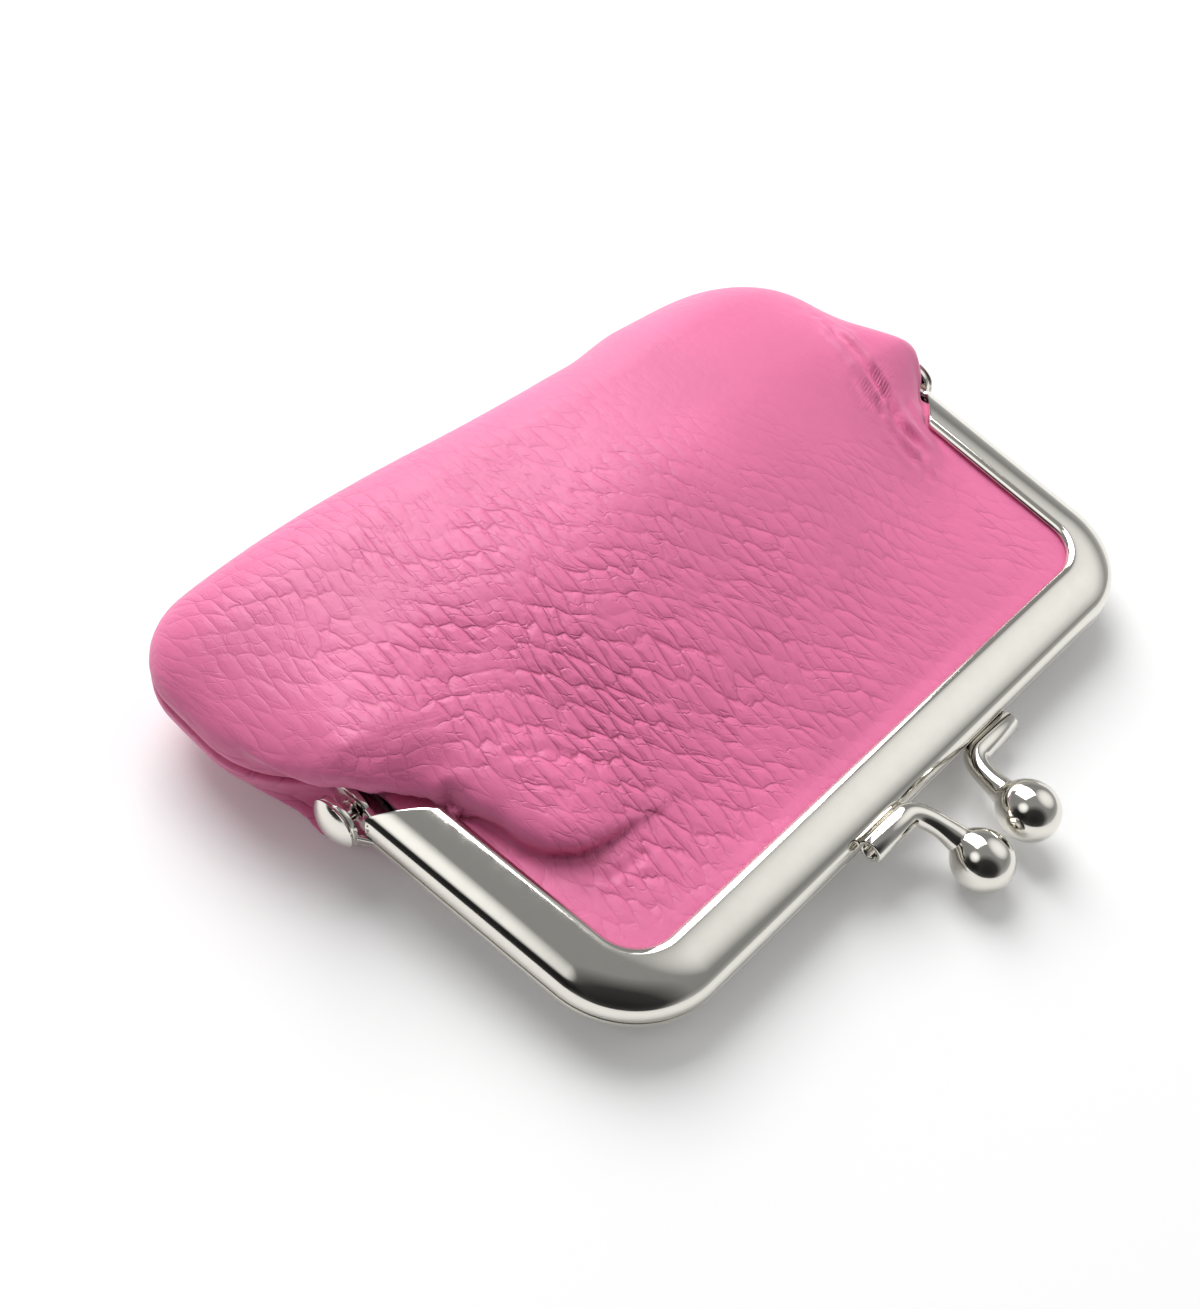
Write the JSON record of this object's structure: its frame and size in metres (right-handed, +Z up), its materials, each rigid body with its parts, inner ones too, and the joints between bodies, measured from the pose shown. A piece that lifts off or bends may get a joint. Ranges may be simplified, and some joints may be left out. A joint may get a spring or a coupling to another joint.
{
  "type": "kiss lock frame purse",
  "caption": "Small pebbled leather purse on a polished metal frame that swings open on side rivets and shuts with two crossing ball clasps.",
  "frame": {"origin": "centre of the bounding box at the table the purse lies on", "axes": "+X along the frame's bar, +Y from the clasp to the bottom of the pouch, +Z up from the table through the front"},
  "size_m": [0.096, 0.0772, 0.017],
  "materials": {
    "nickel_plate": "bright nickel plate over pressed steel",
    "pebbled_leather": "satin pebbled pink leather",
    "lining_cloth": "plain woven lining",
    "paper_cord": "twisted paper cord",
    "seam_thread": "spun polyester thread"
  },
  "bodies": {
    "rear_half": {"rear_frame": "nickel_plate", "rear_clasp": "nickel_plate", "left_rivet": "nickel_plate", "right_rivet": "nickel_plate", "rear_leather": "pebbled_leather", "front_leather_fold": "pebbled_leather", "front_leather_lower": "pebbled_leather", "rear_lining": "lining_cloth", "front_lining_fold": "lining_cloth", "front_lining_lower": "lining_cloth", "rear_paper_cord": "paper_cord", "seam_thread": "seam_thread"},
    "front_half": {"front_frame": "nickel_plate", "front_clasp": "nickel_plate", "front_leather_upper": "pebbled_leather", "front_lining_upper": "lining_cloth", "front_paper_cord": "paper_cord"}
  },
  "joints": [
    {"name": "frame_hinge", "type": "hinge", "parent": "rear_half", "child": "front_half", "pos_m": [0, 0.00864, 0.00708], "axis": [-1, 0, 0], "range_deg": [0, 90], "deforming": ["front_leather_fold", "front_lining_fold"]}
  ]
}
